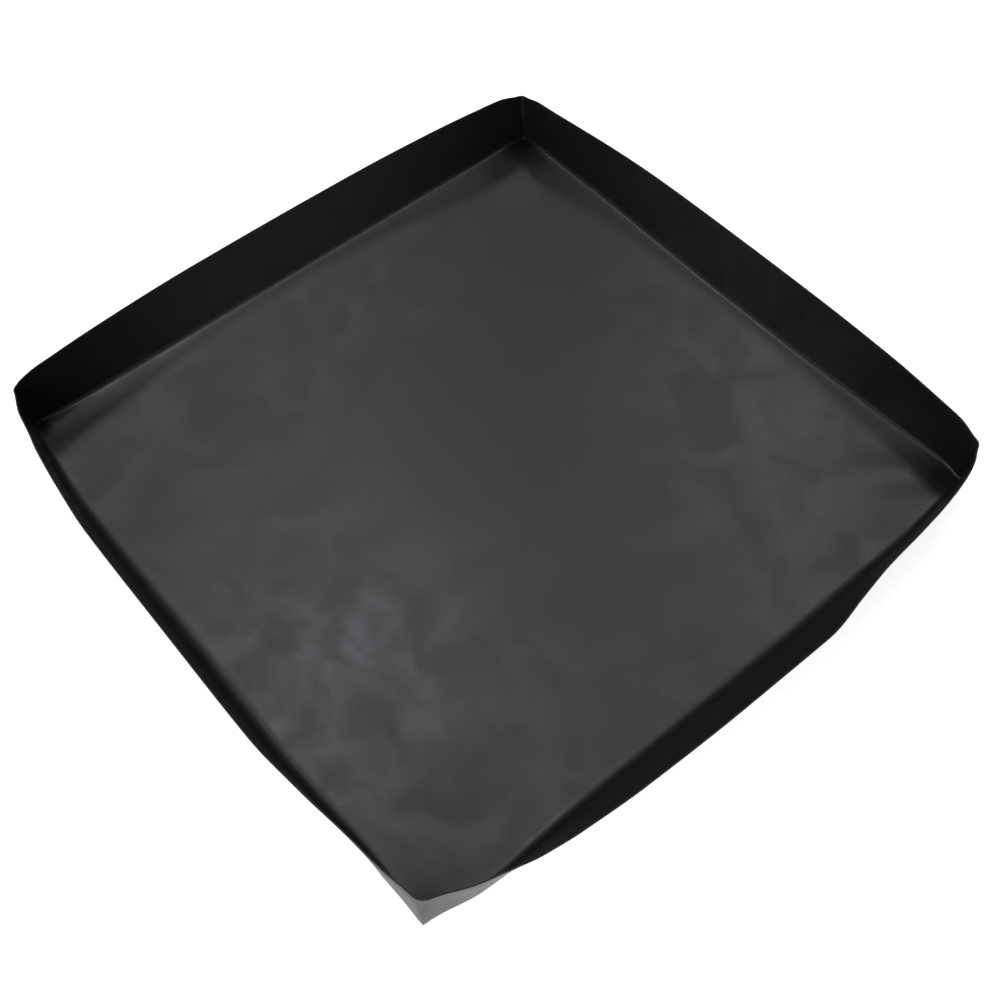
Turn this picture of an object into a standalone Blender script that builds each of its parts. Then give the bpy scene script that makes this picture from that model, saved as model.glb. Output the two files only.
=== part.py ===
"""Seedling heat mat in tray form: a folded black sheet with four bowed walls, and a sealed heating laminate
under its floor. Metres, +Z up. The origin is the centre of the underside, -Y is the front, +X is the right."""

import math

import bmesh
import bpy
from mathutils import Vector

MM = 0.001

# Driving dimensions of the folded sheet
FLOOR_SIDE = 530 * MM  # between opposite fold lines
WALL_HEIGHT = 50 * MM  # from the fold line to the rim, along the wall
SHEET_THICK = 1.2 * MM
FOLD_RADIUS = 5.5 * MM  # inside the fold
FOLD_FLANGE = 7 * MM  # how far a wall panel reaches in under its fold line
GAP = 0.3 * MM  # between pieces that touch

# How far each wall leans outwards, in degrees: in its middle, and at its two ends (left to right seen from outside)
LEANS = {
    "front_wall": (24, 0, -1),
    "right_wall": (42, 4, 3),
    "back_wall": (23, 1, 0),
    "left_wall": (29, 1, 0),
}
BOW_POWER = 0.65  # how square the bow is: 1 is a half cosine
OUTWARD_DEG = {"front_wall": -90, "right_wall": 0, "back_wall": 90, "left_wall": 180}
STATIONS = 15  # cross-sections along a wall, closer together towards its ends
END_MARGIN = 18 * MM  # from the last of them to the corner
END_SHARES = (0.45, 0.88)  # more cross-sections on the way from the last station to the corner
FOLD_STEPS = 4
FLAT_SHARES = (0.45, 0.9, 1.0)  # heights along the flat of a wall

# Corner laps, on the outer faces of the front and back walls
LAP_THICK = 0.8 * MM
LAP_COLUMNS = slice(1, 5)  # the wall's cross-sections that a lap covers, counted from the corner

# The laminate under the floor, from the bottom up
BASE_THICK = 0.8 * MM
FOAM_THICK = 1.5 * MM
FILM_THICK = 0.2 * MM
ELEMENT_THICK = 0.2 * MM
BASE_Z = 0.0
FOAM_Z = BASE_Z + BASE_THICK + GAP
FILM_LOWER_Z = FOAM_Z + FOAM_THICK + GAP
ELEMENT_Z = FILM_LOWER_Z + FILM_THICK + GAP
FILM_UPPER_Z = ELEMENT_Z + ELEMENT_THICK + GAP
SHEET_Z = FILM_UPPER_Z + FILM_THICK + GAP
FLOOR_TOP = SHEET_Z + SHEET_THICK

BASE_HALF = FLOOR_SIDE / 2 - 5 * MM
SEAL_HALF = FLOOR_SIDE / 2 - 5.5 * MM
SEAL_WIDTH = 10 * MM
INNER_HALF = SEAL_HALF - SEAL_WIDTH - GAP  # half the side of the foam and the films

# The heating print and its copper
BUSBAR_WIDTH = 10 * MM
BUSBAR_Y = 240 * MM
BUSBAR_RIGHT = 236 * MM
PRINT_HALF_X = 234 * MM
PRINT_RAIL = 4 * MM
RUNGS = 16
RUNG_WIDTH = 18 * MM
RUNG_PITCH = 29 * MM
LEAD_X = -245 * MM  # centre line of the copper strips that run along the left edge
LEAD_WIDTH = 4 * MM
TAIL_END_X = -279.7 * MM

# The tongue that carries the copper out under the left wall
TONGUE_Y = 175 * MM
TONGUE_WIDTH = 30 * MM
TONGUE_END_X = -277 * MM
TAB_WIDTH = 34 * MM
TAIL_SPREAD = 9 * MM  # each tail's distance from the tongue's centre line

# The lead block outside the left wall
BLOCK_X = (-294 * MM, -272 * MM)
BLOCK_Y = (148 * MM, 200 * MM)
BLOCK_WALL = 2 * MM
BLOCK_BASE_TOP = 10.9 * MM
BLOCK_TOP = 14 * MM
BLOCK_EDGE = 0.8 * MM
SLOT_Z = (2.6 * MM, 4.4 * MM)
SLOT_WIDTH = 33 * MM
SCREWS = ((-289 * MM, 153.5 * MM), (-277 * MM, 194.5 * MM))
PILLAR_RADIUS = 3 * MM
PILLAR_BOTTOM = 1.5 * MM
SCREW_HOLE_RADIUS = 1.5 * MM
SCREW_SHANK_RADIUS = 1.2 * MM
SCREW_HEAD_RADIUS = 2.4 * MM
SCREW_HEAD_HEIGHT = 1.4 * MM
SCREW_TIP_Z = 6 * MM
SCREW_HOLE_FLOOR = 5.5 * MM
CRIMP_RADIUS = 1.3 * MM
CRIMP_BORE = 0.7 * MM
CRIMP_LENGTH = 6 * MM

# The cable gland in the lead block's back end
GLAND_X = -285.5 * MM
GLAND_Z = 6.5 * MM
GLAND_HOLE_RADIUS = 3.9 * MM
GLAND_TUBE_RADIUS = 3.6 * MM
GLAND_BORE_RADIUS = 2.5 * MM
GLAND_HEX_RADIUS = 6 * MM
GLAND_COLLAR = 3 * MM
GLAND_TUBE_Y = (196.5 * MM, 210 * MM)
GROMMET_RADIUS = 3.5 * MM
GROMMET_BORE = 2.2 * MM
GROMMET_LENGTH = 1.4 * MM
NUT_END_WALL = 2 * MM

ROUND = 32  # sides of a round piece
HEX = 6


def clear_scene():
    for obj in list(bpy.data.objects):
        bpy.data.objects.remove(obj)


def material(name, colour, roughness, metallic=0.0):
    made = bpy.data.materials.get(name)
    if made is None:
        made = bpy.data.materials.new(name)
        made.use_nodes = True
        shader = made.node_tree.nodes["Principled BSDF"]
        shader.inputs["Base Color"].default_value = (*colour, 1)
        shader.inputs["Roughness"].default_value = roughness
        shader.inputs["Metallic"].default_value = metallic
    return made


def black_sheet():
    return material("black_sheet", (0.012, 0.012, 0.013), 0.45)


def moulded_black():
    return material("moulded_black", (0.02, 0.02, 0.021), 0.5)


def copper():
    return material("copper", (0.72, 0.36, 0.2), 0.35, 1)


def steel():
    return material("steel", (0.55, 0.55, 0.56), 0.35, 1)


def clear_film():
    return material("carrier_film", (0.5, 0.5, 0.47), 0.3)


def new_object(name, bm, surface, helper=False):
    """An object made from bm, with its faces turned outwards."""
    bmesh.ops.recalc_face_normals(bm, faces=bm.faces)
    mesh = bpy.data.meshes.new(name)
    bm.to_mesh(mesh)
    bm.free()
    obj = bpy.data.objects.new(name, mesh)
    bpy.context.scene.collection.objects.link(obj)
    if helper:
        obj.hide_render = True
        obj.display_type = "WIRE"
    else:
        mesh.materials.append(surface)
        mesh.shade_smooth()
        mesh.set_sharp_from_angle(angle=math.radians(30))
    return obj


def outline_plate(name, outline, low, high, surface, helper=False):
    """A flat plate: the outline's corners, extruded from height low to height high."""
    bm = bmesh.new()
    corners = [bm.verts.new((x, y, low)) for x, y in outline]
    face = bm.faces.new(corners)
    raised = bmesh.ops.extrude_face_region(bm, geom=[face])["geom"]
    top = [part for part in raised if isinstance(part, bmesh.types.BMVert)]
    bmesh.ops.translate(bm, verts=top, vec=(0, 0, high - low))
    return new_object(name, bm, surface, helper)


def rectangle(x_low, x_high, y_low, y_high):
    return [(x_low, y_low), (x_high, y_low), (x_high, y_high), (x_low, y_high)]


def square(half):
    return rectangle(-half, half, -half, half)


def tabbed_square(half, tab_width, tab_end_x):
    """A square with a tab on its left side, centred on the tongue."""
    low = TONGUE_Y - tab_width / 2
    high = TONGUE_Y + tab_width / 2
    tab = [(-half, high), (tab_end_x, high), (tab_end_x, low), (-half, low)]
    return [(-half, -half), (half, -half), (half, half), (-half, half), *tab]


def rod(name, radius, start, end, surface, sides=ROUND, helper=False):
    """A straight rod from start to end."""
    start, end = Vector(start), Vector(end)
    along = end - start
    turn = Vector((0, 0, 1)).rotation_difference(along).to_matrix().to_4x4()
    bm = bmesh.new()
    bmesh.ops.create_cone(
        bm, cap_ends=True, segments=sides, radius1=radius, radius2=radius, depth=along.length, matrix=turn
    )
    bmesh.ops.translate(bm, verts=bm.verts, vec=(start + end) / 2)
    return new_object(name, bm, surface, helper)


def combine(obj, operation, *others):
    """Adds a Boolean of each other object, which must be a helper."""
    for other in others:
        boolean = obj.modifiers.new(f"{operation} {other.name}", "BOOLEAN")
        boolean.operation = operation
        boolean.object = other


def cut(obj, *cutters):
    combine(obj, "DIFFERENCE", *cutters)


def join(obj, *pieces):
    combine(obj, "UNION", *pieces)


def bevel(obj, width, segments=2):
    rounded = obj.modifiers.new("rounded edges", "BEVEL")
    rounded.width = width
    rounded.segments = segments
    rounded.limit_method = "ANGLE"


# ---- the folded sheet ----


def lean_at(wall, share):
    """A wall's outward lean in radians, at share from 0 to 1 along it."""
    middle, start, end = LEANS[wall]
    bow = max(math.sin(math.pi * share), 0) ** BOW_POWER
    return math.radians(start * (1 - share) + end * share + middle * bow)


def profile(lean, offset):
    """A wall's cross-section as (out, up) from the fold line, for the surface at offset behind the inner one."""
    turn = math.pi / 2 - lean
    arc_start = -FOLD_RADIUS * math.tan(turn / 2)
    radius = FOLD_RADIUS + offset
    points = [(-FOLD_FLANGE, -offset)]
    for step in range(FOLD_STEPS + 1):
        angle = turn * step / FOLD_STEPS
        points.append((arc_start + radius * math.sin(angle), FOLD_RADIUS - radius * math.cos(angle)))
    out, up = points[-1]
    rim_out = WALL_HEIGHT * math.sin(lean) + offset * math.cos(lean)
    rim_up = WALL_HEIGHT * math.cos(lean) - offset * math.sin(lean)
    for share in FLAT_SHARES:
        points.append((out + (rim_out - out) * share, up + (rim_up - up) * share))
    return points


def wall_column(wall, along, offset):
    """One cross-section of a wall, at along metres from its middle."""
    outward = math.radians(OUTWARD_DEG[wall])
    out_axis = Vector((math.cos(outward), math.sin(outward), 0))
    along_axis = Vector((-out_axis.y, out_axis.x, 0))
    lean = lean_at(wall, along / FLOOR_SIDE + 0.5)
    return [
        along_axis * along + out_axis * (FLOOR_SIDE / 2 + out) + Vector((0, 0, FLOOR_TOP + up))
        for out, up in profile(lean, offset)
    ]


def corner_column(wall, next_wall, offset):
    """The cross-section where the end of wall meets the start of next_wall, the same points for both."""
    first = profile(lean_at(wall, 1), offset)
    second = profile(lean_at(next_wall, 0), offset)
    first_axis = Vector((math.cos(math.radians(OUTWARD_DEG[wall])), math.sin(math.radians(OUTWARD_DEG[wall])), 0))
    second_axis = Vector((-first_axis.y, first_axis.x, 0))
    return [
        first_axis * (FLOOR_SIDE / 2 + out_1)
        + second_axis * (FLOOR_SIDE / 2 + out_2)
        + Vector((0, 0, FLOOR_TOP + (up_1 + up_2) / 2))
        for (out_1, up_1), (out_2, up_2) in zip(first, second)
    ]


def between(first, second, share):
    return [a.lerp(b, share) for a, b in zip(first, second)]


def wall_surface(wall, offset):
    """Every cross-section of a wall from its start to its end, mitred at both corners."""
    names = list(LEANS)
    place = names.index(wall)
    before, after = names[place - 1], names[(place + 1) % len(names)]
    outward = math.radians(OUTWARD_DEG[wall])
    along_axis = Vector((-math.sin(outward), math.cos(outward), 0))
    pull_back = along_axis * GAP / math.sqrt(2)
    reach = FLOOR_SIDE / 2 - END_MARGIN
    turns = [math.pi * (step / (STATIONS - 1) - 0.5) for step in range(STATIONS)]
    stations = [wall_column(wall, reach * math.sin(turn), offset) for turn in turns]
    start = [point + pull_back for point in corner_column(before, wall, offset)]
    end = [point - pull_back for point in corner_column(wall, after, offset)]
    near_start = [between(stations[0], start, share) for share in END_SHARES]
    near_end = [between(stations[-1], end, share) for share in END_SHARES]
    return [start, *near_start[::-1], *stations, *near_end, end]


def shell(name, inner, outer, surface):
    """A closed sheet between two grids of points of the same size."""
    bm = bmesh.new()
    faces = [[[bm.verts.new(point) for point in column] for column in grid] for grid in (inner, outer)]
    columns, rows = len(inner), len(inner[0])
    for grid in faces:
        for i in range(columns - 1):
            for k in range(rows - 1):
                bm.faces.new((grid[i][k], grid[i + 1][k], grid[i + 1][k + 1], grid[i][k + 1]))
    near, far = faces
    for k in (0, rows - 1):
        for i in range(columns - 1):
            bm.faces.new((near[i][k], near[i + 1][k], far[i + 1][k], far[i][k]))
    for i in (0, columns - 1):
        for k in range(rows - 1):
            bm.faces.new((near[i][k], near[i][k + 1], far[i][k + 1], far[i][k]))
    return new_object(name, bm, surface)


def wall(name):
    shell(name, wall_surface(name, 0), wall_surface(name, SHEET_THICK), black_sheet())


def corner_lap(name, wall_name, at_end):
    """The strip welded behind one end of a wall, from the fold to just below the rim."""
    grids = []
    for offset in (SHEET_THICK + GAP, SHEET_THICK + GAP + LAP_THICK):
        columns = wall_surface(wall_name, offset)
        if at_end:
            columns = columns[::-1]
        grids.append([column[FOLD_STEPS + 1 : -1] for column in columns[LAP_COLUMNS]])
    shell(name, *grids, black_sheet())


def floor_sheet():
    half = FLOOR_SIDE / 2 - FOLD_FLANGE - GAP
    outline_plate("floor_sheet", square(half), SHEET_Z, FLOOR_TOP, black_sheet())


# ---- the laminate ----


def base_sheet():
    tab_end = BLOCK_X[1] + GAP
    outline = tabbed_square(BASE_HALF, TAB_WIDTH, tab_end)
    outline_plate("base_sheet", outline, BASE_Z, BASE_Z + BASE_THICK, material("base_sheet", (0.02, 0.02, 0.02), 0.6))


def edge_seal():
    """The welded margin, with a shelf on the left where the tongue leaves."""
    tab_end = BLOCK_X[1] + GAP
    top = FILM_UPPER_Z + FILM_THICK
    surface = material("edge_seal", (0.015, 0.015, 0.016), 0.5)
    seal = outline_plate("edge_seal", tabbed_square(SEAL_HALF, TAB_WIDTH, tab_end), FOAM_Z, top, surface)
    hollow_half = SEAL_HALF - SEAL_WIDTH
    hollow = outline_plate("seal_hollow", square(hollow_half), -GAP, FLOOR_TOP, None, helper=True)
    notch_y = (TONGUE_Y - TAB_WIDTH / 2 - GAP, TONGUE_Y + TAB_WIDTH / 2 + GAP)
    notch_outline = rectangle(BLOCK_X[1] - GAP, -hollow_half + GAP, *notch_y)
    notch = outline_plate("seal_notch", notch_outline, FOAM_Z + FOAM_THICK, FLOOR_TOP, None, helper=True)
    cut(seal, hollow, notch)


def insulation_foam():
    surface = material("insulation_foam", (0.55, 0.55, 0.53), 0.9)
    outline_plate("insulation_foam", square(INNER_HALF), FOAM_Z, FOAM_Z + FOAM_THICK, surface)


def carrier_film(name, low):
    outline = tabbed_square(INNER_HALF, TONGUE_WIDTH, TONGUE_END_X)
    outline_plate(name, outline, low, low + FILM_THICK, clear_film())


def carbon_print():
    """The printed ladder: a rail beside each busbar, and the rungs that heat between them."""
    reach = BUSBAR_Y - BUSBAR_WIDTH / 2 - GAP
    surface = material("carbon_print", (0.02, 0.02, 0.02), 0.7)
    outline = rectangle(-PRINT_HALF_X, PRINT_HALF_X, -reach, reach)
    ladder = outline_plate("carbon_print", outline, ELEMENT_Z, ELEMENT_Z + ELEMENT_THICK, surface)
    first = -RUNG_PITCH * (RUNGS - 1) / 2
    edges = [first + RUNG_PITCH * step - side for step in range(RUNGS) for side in (RUNG_WIDTH / 2, -RUNG_WIDTH / 2)]
    spaces = zip([-PRINT_HALF_X - GAP, *edges[1::2]], [*edges[0::2], PRINT_HALF_X + GAP])
    for number, (x_low, x_high) in enumerate(spaces):
        y_half = reach - PRINT_RAIL
        gap = outline_plate(
            f"rung_space_{number}", rectangle(x_low, x_high, -y_half, y_half), BASE_Z, FLOOR_TOP, None, helper=True
        )
        cut(ladder, gap)


def busbar(name, centre_y):
    left = LEAD_X + LEAD_WIDTH / 2 + GAP
    outline = rectangle(left, BUSBAR_RIGHT, centre_y - BUSBAR_WIDTH / 2, centre_y + BUSBAR_WIDTH / 2)
    outline_plate(name, outline, ELEMENT_Z, ELEMENT_Z + ELEMENT_THICK, copper())


def lead_strip(name, side):
    """A copper strip along the left edge, from a busbar (side -1 front, 1 back) to its tail on the tongue."""
    busbar_y = side * (BUSBAR_Y + BUSBAR_WIDTH / 2)
    tail_y = TONGUE_Y + side * TAIL_SPREAD
    near = tail_y + side * LEAD_WIDTH / 2
    far = tail_y - side * LEAD_WIDTH / 2
    inner = LEAD_X + LEAD_WIDTH / 2
    outer = LEAD_X - LEAD_WIDTH / 2
    outline = [(inner, busbar_y), (inner, far), (TAIL_END_X, far), (TAIL_END_X, near), (outer, near)]
    outline.append((outer, busbar_y))
    outline_plate(name, outline, ELEMENT_Z, ELEMENT_Z + ELEMENT_THICK, copper())


# ---- the lead block ----


def lead_block_base():
    base = outline_plate("lead_block_base", rectangle(*BLOCK_X, *BLOCK_Y), BASE_Z, BLOCK_BASE_TOP, moulded_black())
    inside = rectangle(
        BLOCK_X[0] + BLOCK_WALL, BLOCK_X[1] - BLOCK_WALL, BLOCK_Y[0] + BLOCK_WALL, BLOCK_Y[1] - BLOCK_WALL
    )
    cavity = outline_plate("block_cavity", inside, BLOCK_WALL, BLOCK_TOP, None, helper=True)
    pillars = []
    for number, (x, y) in enumerate(SCREWS, 1):
        pillar = rod(
            f"block_pillar_{number}",
            PILLAR_RADIUS,
            (x, y, PILLAR_BOTTOM),
            (x, y, BLOCK_BASE_TOP),
            None,
            helper=True,
        )
        pillars.append(pillar)
    slot_y = (TONGUE_Y - SLOT_WIDTH / 2, TONGUE_Y + SLOT_WIDTH / 2)
    slot_outline = rectangle(BLOCK_X[1] - 2 * BLOCK_WALL, BLOCK_X[1] + BLOCK_WALL, *slot_y)
    slot = outline_plate("block_slot", slot_outline, *SLOT_Z, None, helper=True)
    gland_hole = rod(
        "block_gland_hole",
        GLAND_HOLE_RADIUS,
        (GLAND_X, BLOCK_Y[1] - 2 * BLOCK_WALL, GLAND_Z),
        (GLAND_X, BLOCK_Y[1] + BLOCK_WALL, GLAND_Z),
        None,
        helper=True,
    )
    cut(base, cavity)
    join(base, *pillars)
    cut(base, slot, gland_hole)
    for number, (x, y) in enumerate(SCREWS, 1):
        hole = rod(
            f"base_screw_hole_{number}",
            SCREW_HOLE_RADIUS,
            (x, y, SCREW_HOLE_FLOOR),
            (x, y, BLOCK_TOP),
            None,
            helper=True,
        )
        cut(base, hole)


def lead_block_lid():
    lid = outline_plate(
        "lead_block_lid", rectangle(*BLOCK_X, *BLOCK_Y), BLOCK_BASE_TOP + GAP, BLOCK_TOP, moulded_black()
    )
    bevel(lid, BLOCK_EDGE)
    for number, (x, y) in enumerate(SCREWS, 1):
        hole = rod(
            f"lid_screw_hole_{number}",
            SCREW_HOLE_RADIUS,
            (x, y, BLOCK_BASE_TOP - BLOCK_WALL),
            (x, y, BLOCK_TOP + BLOCK_WALL),
            None,
            helper=True,
        )
        cut(lid, hole)


def lid_screw(number, x, y):
    """A pan-head screw, its head just above the lid."""
    under_head = BLOCK_TOP + GAP
    top = under_head + SCREW_HEAD_HEIGHT
    screw = rod(f"lid_screw_{number}", SCREW_HEAD_RADIUS, (x, y, under_head), (x, y, top), steel())
    shank = rod(
        f"screw_shank_{number}", SCREW_SHANK_RADIUS, (x, y, SCREW_TIP_Z), (x, y, under_head + GAP), None, helper=True
    )
    slot_outline = rectangle(x - SCREW_HEAD_RADIUS, x + SCREW_HEAD_RADIUS, y - GAP, y + GAP)
    slot = outline_plate(
        f"screw_slot_{number}", slot_outline, top - SCREW_HEAD_HEIGHT / 2, top + GAP, None, helper=True
    )
    join(screw, shank)
    cut(screw, slot)


def crimp(number, y):
    """A copper crimp barrel at the end of a strip's tail."""
    z = ELEMENT_Z + ELEMENT_THICK / 2
    start = TAIL_END_X - GAP
    barrel = rod(f"crimp_{number}", CRIMP_RADIUS, (start, y, z), (start - CRIMP_LENGTH, y, z), copper())
    bore = rod(
        f"crimp_bore_{number}",
        CRIMP_BORE,
        (start + GAP, y, z),
        (start - CRIMP_LENGTH - GAP, y, z),
        None,
        helper=True,
    )
    cut(barrel, bore)


def gland_piece(name, radius, bore_radius, y_start, y_end, surface, sides=ROUND):
    """A ring of the gland, with its bore cut through."""
    body = rod(name, radius, (GLAND_X, y_start, GLAND_Z), (GLAND_X, y_end, GLAND_Z), surface, sides)
    bore = rod(
        f"{name}_bore",
        bore_radius,
        (GLAND_X, y_start - GAP, GLAND_Z),
        (GLAND_X, y_end + GAP, GLAND_Z),
        None,
        helper=True,
    )
    return body, bore


def gland():
    """The gland's threaded body, its seal, and the nut that squeezes it."""
    collar_start = BLOCK_Y[1] + GAP
    collar_end = collar_start + GLAND_COLLAR
    tube_start, tube_end = GLAND_TUBE_Y
    body, bore = gland_piece(
        "gland_body", GLAND_TUBE_RADIUS, GLAND_BORE_RADIUS, tube_start, tube_end, moulded_black()
    )
    collar = rod(
        "gland_collar",
        GLAND_HEX_RADIUS,
        (GLAND_X, collar_start, GLAND_Z),
        (GLAND_X, collar_end, GLAND_Z),
        None,
        HEX,
        helper=True,
    )
    join(body, collar)
    cut(body, bore)

    seal_start = tube_end + GAP
    seal_end = seal_start + GROMMET_LENGTH
    rubber = material("rubber", (0.03, 0.03, 0.03), 0.8)
    grommet, grommet_bore = gland_piece(
        "gland_grommet", GROMMET_RADIUS, GROMMET_BORE, seal_start, seal_end, rubber
    )
    cut(grommet, grommet_bore)

    nut_start = collar_end + GAP
    nut_end = seal_end + GAP + NUT_END_WALL
    nut, nut_bore = gland_piece(
        "gland_nut", GLAND_HEX_RADIUS, GLAND_BORE_RADIUS, nut_start, nut_end, moulded_black(), HEX
    )
    thread = rod(
        "gland_nut_thread",
        GLAND_HOLE_RADIUS,
        (GLAND_X, nut_start - GAP, GLAND_Z),
        (GLAND_X, seal_end + GAP, GLAND_Z),
        None,
        helper=True,
    )
    cut(nut, thread, nut_bore)


def main():
    clear_scene()
    floor_sheet()
    for name in LEANS:
        wall(name)
    corner_lap("front_left_lap", "front_wall", at_end=False)
    corner_lap("front_right_lap", "front_wall", at_end=True)
    corner_lap("back_right_lap", "back_wall", at_end=False)
    corner_lap("back_left_lap", "back_wall", at_end=True)
    base_sheet()
    edge_seal()
    insulation_foam()
    carrier_film("film_lower", FILM_LOWER_Z)
    carrier_film("film_upper", FILM_UPPER_Z)
    carbon_print()
    busbar("front_busbar", -BUSBAR_Y)
    busbar("back_busbar", BUSBAR_Y)
    lead_strip("front_lead_strip", -1)
    lead_strip("back_lead_strip", 1)
    lead_block_base()
    lead_block_lid()
    for number, (x, y) in enumerate(SCREWS, 1):
        lid_screw(number, x, y)
    crimp(1, TONGUE_Y - TAIL_SPREAD)
    crimp(2, TONGUE_Y + TAIL_SPREAD)
    gland()


main()
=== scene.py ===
"""The looks of the tray-form seedling heat mat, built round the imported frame.

The folded sheet is one continuous skin here, from floor to rim, with its fold fillets, bowed walls,
soft corners and the slight waviness of a thin sheet. The laminate under it and the lead block keep their
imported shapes, with rounded edges and the finish of each material. Everything is in metres.
"""

import math

import bmesh
import bpy
import numpy as np
from mathutils import Matrix, Vector, noise


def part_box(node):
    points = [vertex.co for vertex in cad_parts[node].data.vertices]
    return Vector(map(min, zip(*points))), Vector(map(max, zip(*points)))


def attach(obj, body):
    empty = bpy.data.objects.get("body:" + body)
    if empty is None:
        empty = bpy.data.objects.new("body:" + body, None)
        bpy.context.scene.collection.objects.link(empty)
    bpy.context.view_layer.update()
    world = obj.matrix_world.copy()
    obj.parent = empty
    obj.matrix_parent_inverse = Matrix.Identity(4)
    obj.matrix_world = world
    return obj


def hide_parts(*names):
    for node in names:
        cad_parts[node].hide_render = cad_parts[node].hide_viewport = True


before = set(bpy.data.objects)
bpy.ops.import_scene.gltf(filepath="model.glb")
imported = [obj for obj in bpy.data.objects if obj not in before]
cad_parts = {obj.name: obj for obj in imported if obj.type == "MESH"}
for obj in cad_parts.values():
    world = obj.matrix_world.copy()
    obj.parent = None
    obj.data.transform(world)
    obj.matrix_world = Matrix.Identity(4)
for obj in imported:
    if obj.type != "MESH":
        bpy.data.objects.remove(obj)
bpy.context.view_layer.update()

MM = 0.001
GAP = 0.3 * MM  # between pieces that touch

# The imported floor, read from the frame
FLOOR_LOW, FLOOR_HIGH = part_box("floor_sheet")
FLOOR_TOP = FLOOR_HIGH.z
SHEET_THICK = FLOOR_HIGH.z - FLOOR_LOW.z

# The folds
PACKED_FLANGE = 7 * MM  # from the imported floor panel's edge to the fold line
FOLD_HALF = FLOOR_HIGH.x + PACKED_FLANGE + GAP  # half the side between opposite fold lines
FOLD_FLANGE = 20 * MM  # the strip of floor that takes up the fold's bend
PANEL_HALF = FOLD_HALF - FOLD_FLANGE
WALL_HEIGHT = 50 * MM  # from the fold line to the rim, along the wall

# How the thin floor turns up inside the folds: strips of a width, and the slope each adds at the fold
SLIGHT_RISES = ((26 * MM, 0.03), (90 * MM, 0.015))
STEEP_RISES = ((28 * MM, 0.14), (75 * MM, 0.03))
RISE_END = 22 * MM  # how far from a corner they reach their full height
QUICK_RISE_END = 10 * MM  # the same at the front left corner

# The faint waviness of the floor: waves to the metre, where in the noise they are read, and their height
SLOW_WAVE = (5.2, 3.1, 0.7 * MM)
QUICK_WAVE = (11, 8.7, 0.16 * MM)
SETTLE_WIDTH = 35 * MM  # over which the waviness dies out towards the folds

# For each wall:
# - the direction it faces, in degrees
# - its outward lean in degrees, at shares of the way along it
# - its fold line's outward bow in mm, at shares of the way along it
# - the fold's inner radius at mid-wall
# - the radius in plan of the rim's corner where the wall ends
# - the floor's rises inside it
WALLS = {
    "front": dict(
        outward=-90,
        lean=(
            (0, -1), (0.05, 4.5), (0.09, 5.5), (0.13, 7), (0.18, 8.5), (0.3, 14),
            (0.42, 14.6), (0.62, 14), (0.72, 13), (0.78, 11.5), (0.83, 10), (0.93, 5.5),
            (1, -1),
        ),
        foot=(
            (0, 0), (0.04, 2.2), (0.09, 5), (0.13, 7.5), (0.2, 9.5), (0.3, 9),
            (0.5, 8), (0.7, 7.8), (0.8, 4.8), (0.9, 0.9), (1, 0),
        ),
        fold=13 * MM,
        corner=6 * MM,
        rises=SLIGHT_RISES,
    ),
    "right": dict(
        outward=0,
        lean=(
            (0, 3), (0.03, 6), (0.1, 14), (0.15, 23), (0.2, 29), (0.3, 35.3),
            (0.45, 37.5), (0.62, 36.5), (0.7, 27.5), (0.76, 21.5), (0.84, 17.5), (0.92, 14),
            (0.97, 9.5), (1, 0.8),
        ),
        foot=(
            (0, 0), (0.03, 3.1), (0.08, 8), (0.11, 8.6), (0.18, 6.6), (0.28, 5.2),
            (0.5, 6.2), (0.7, 7.6), (0.8, 7.7), (0.86, 6.8), (0.91, 4.6), (0.96, 1.6),
            (1, 0),
        ),
        fold=13 * MM,
        corner=4 * MM,
        rises=SLIGHT_RISES,
    ),
    "back": dict(
        outward=90,
        lean=(
            (0, -0.5), (0.05, 4.2), (0.2, 16.7), (0.35, 24.3), (0.5, 25.5), (0.65, 21.7),
            (0.8, 12), (0.88, 6), (0.95, 1.2), (1, -0.5),
        ),
        foot=(
            (0, 0), (0.04, 1), (0.15, 0), (0.35, -2.5), (0.5, -2.5), (0.65, -1),
            (0.8, 0.8), (0.9, 0.7), (1, 0),
        ),
        fold=5 * MM,
        corner=3.5 * MM,
        rises=STEEP_RISES,
    ),
    "left": dict(
        outward=180,
        lean=(
            (0, 1), (0.05, 7.5), (0.2, 20.5), (0.35, 28.5), (0.5, 31), (0.65, 29),
            (0.8, 21), (0.95, 8.5), (1, -1),
        ),
        foot=(
            (0, 0), (0.2, -0.5), (0.5, -1.5), (0.75, -2), (0.92, -2.5), (1, 0),
        ),
        fold=5 * MM,
        corner=3 * MM,
        rises=STEEP_RISES,
    ),
}
CORNER_FOLD_RADIUS = 2 * MM
FOLD_SPREAD = 0.6  # the lower, the nearer to the corners the fold's radius keeps its middle size

# Resolution of the skin
COLUMNS = 121
COLUMN_CROWDING = 0.22  # 1 spaces the columns evenly, and less crowds them towards the corners
END_ZONE = 14 * MM  # where a wall's columns spread out to reach its corner
FLANGE_ROWS = 4
FOLD_ROWS = 8
FLAT_ROWS = 12
FOLD_TOP = FLANGE_ROWS + FOLD_ROWS  # the row where the flat of a wall begins
ROWS = FOLD_TOP + FLAT_ROWS + 1

# The swelling of the floor in front of each corner: up from the corner to its top, then down again
SWELL_HEIGHTS = {  # by the signs of x and y
    (1, -1): 0.3 * MM,
    (1, 1): 3.2 * MM,
    (-1, 1): 2.7 * MM,
    (-1, -1): 0.2 * MM,
}
SWELL_START = 6 * MM
SWELL_TOP = 44 * MM
SWELL_END = 115 * MM
SWELL_WIDTH = 28 * MM

FOLD_WEAR = 0.35  # how worn the middle of a fold is, where the rim is 1

# The strips welded behind the corners
LAP_THICK = 0.45 * MM
LAP_EDGE = 0.1 * MM
LAP_GAP = 0.03 * MM  # a welded strip all but touches
LAP_WIDTH = 22 * MM
LAP_RIM_ROWS = 1  # rows left free under the rim


# ---- helpers ----


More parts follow.
